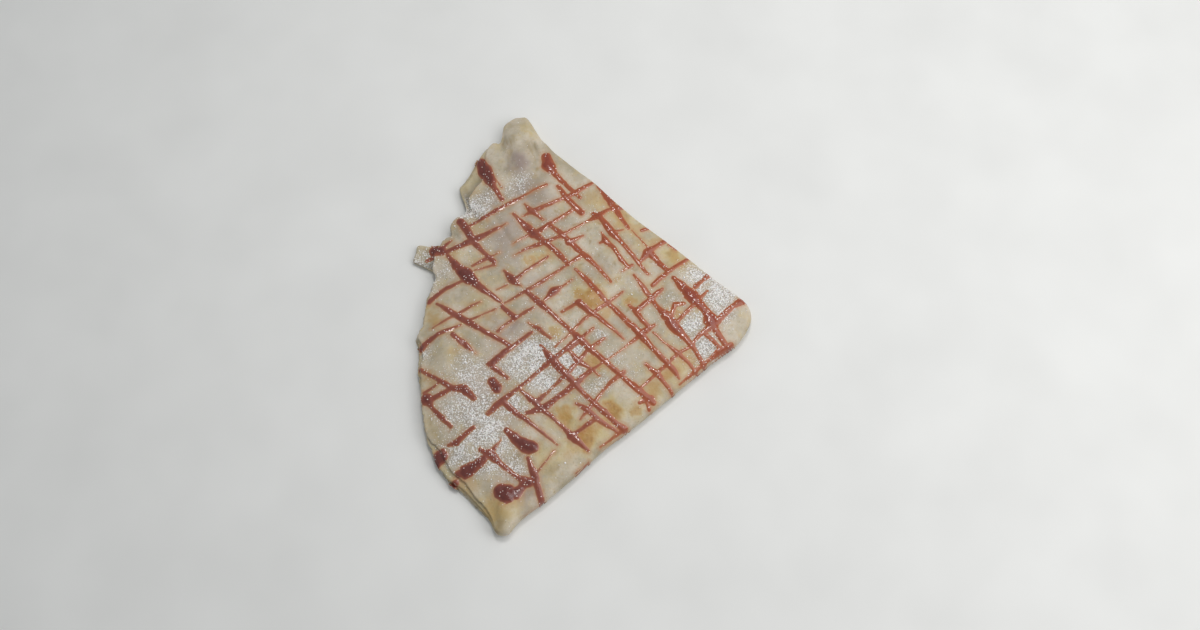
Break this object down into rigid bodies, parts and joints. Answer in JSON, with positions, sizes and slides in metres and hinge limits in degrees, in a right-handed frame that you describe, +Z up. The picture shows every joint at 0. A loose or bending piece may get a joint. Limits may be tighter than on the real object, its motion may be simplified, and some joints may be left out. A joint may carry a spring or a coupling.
{
  "type": "berry crepe",
  "caption": "Thin pancake folded into a fan with a blunt nose and a ragged round edge, with crossed drizzles of berry sauce and icing sugar on top.",
  "frame": {"origin": "middle of the fan's bounding box, at the bottom, on the surface it lies on", "axes": "+X towards the blunt nose, +Y towards the upper tip of the round edge, +Z up"},
  "size_m": [0.1998, 0.2602, 0.0134],
  "materials": {
    "crepe": "soft fried batter, pale with golden brown spots",
    "berry_sauce": "glossy red berry sauce",
    "icing_sugar": "dry white powder"
  },
  "bodies": {
    "root": {"crepe": "crepe"}
  },
  "joints": []
}
